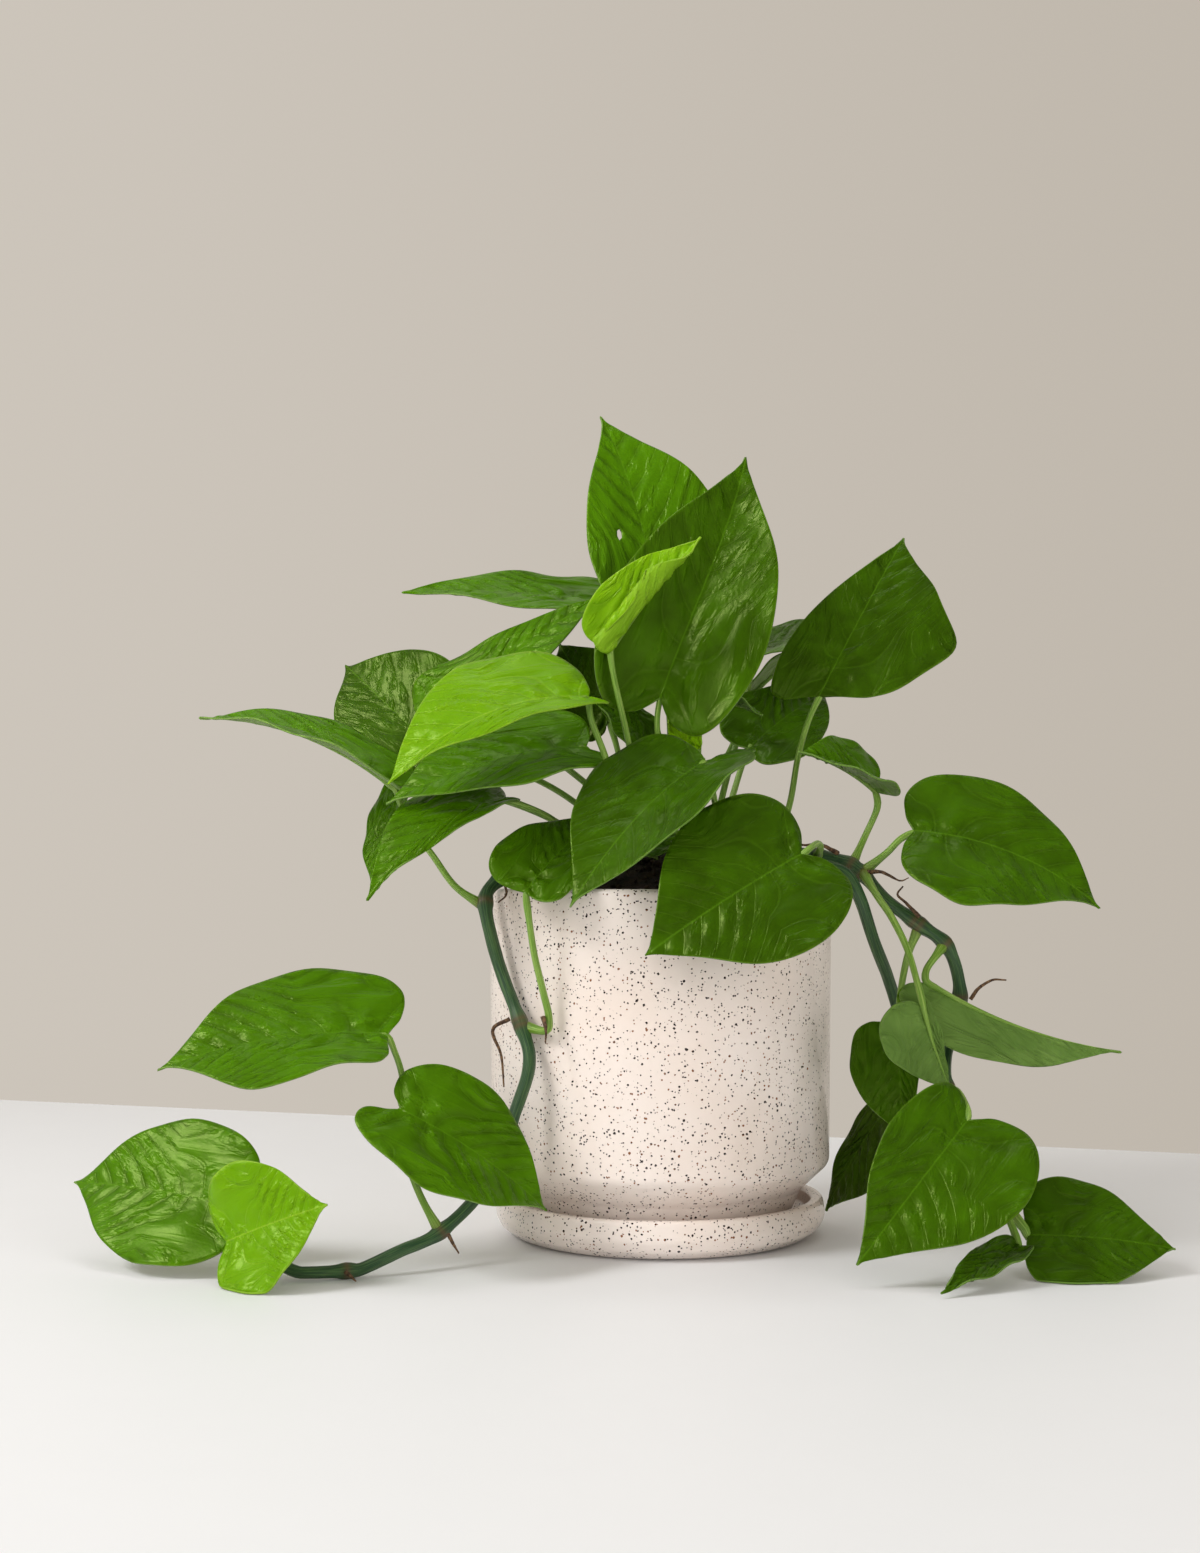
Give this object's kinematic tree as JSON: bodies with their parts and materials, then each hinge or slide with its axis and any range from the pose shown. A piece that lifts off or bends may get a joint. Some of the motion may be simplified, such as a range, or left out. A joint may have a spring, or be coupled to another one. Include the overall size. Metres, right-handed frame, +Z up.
{
  "type": "potted pothos plant",
  "caption": "Pothos plant in a round glazed planter on a matching saucer, its heart-shaped leaves on stalks and its vines trailing over the rim onto the surface.",
  "frame": {"origin": "middle of the saucer's flat underside, on the pot's axis and on the surface that the plant stands on", "axes": "+Z up along the pot's axis, -Y towards the front of the plant, +X to the right seen from the front, along the spread of the trailing vines"},
  "size_m": [0.3833, 0.1803, 0.3192],
  "materials": {
    "glaze": "gloss",
    "soil": "matte",
    "stem": "satin",
    "root": "matte",
    "leaf": "satin",
    "leaf_lime": "satin"
  },
  "bodies": {
    "root": {"leaf_back_right_high": "leaf", "leaf_back_right_mid": "leaf", "leaf_core_dark": "leaf", "leaf_core_grey": "leaf", "leaf_core_lime": "leaf_lime", "leaf_core_low": "leaf", "leaf_front_left": "leaf", "leaf_front_right": "leaf", "leaf_left_back": "leaf", "leaf_left_droop": "leaf", "leaf_left_far": "leaf", "leaf_left_high": "leaf", "leaf_left_narrow": "leaf", "leaf_left_round": "leaf", "leaf_lime": "leaf_lime", "leaf_right_back": "leaf", "leaf_right_down": "leaf", "leaf_right_heart": "leaf", "leaf_right_high": "leaf", "leaf_right_low": "leaf", "leaf_right_mid": "leaf", "leaf_right_out": "leaf", "leaf_right_small": "leaf", "leaf_right_wide": "leaf", "leaf_rim_left": "leaf", "leaf_soil": "leaf", "leaf_table_cupped": "leaf_lime", "leaf_table_left": "leaf", "leaf_table_right": "leaf", "leaf_table_small": "leaf", "leaf_top_back": "leaf", "leaf_top_front": "leaf", "leaf_trail_front": "leaf", "leaf_trail_upper": "leaf", "leaf_under_lime": "leaf", "leaf_young_rolled": "leaf_lime", "pot": "glaze", "root_left_end": "root", "root_left_long": "root", "root_left_loop": "root", "root_left_low": "root", "root_right_hook": "root", "root_right_low": "root", "saucer": "glaze", "soil": "soil", "stem_left": "stem", "stem_right_back": "stem", "stem_right_front": "stem"}
  },
  "joints": []
}
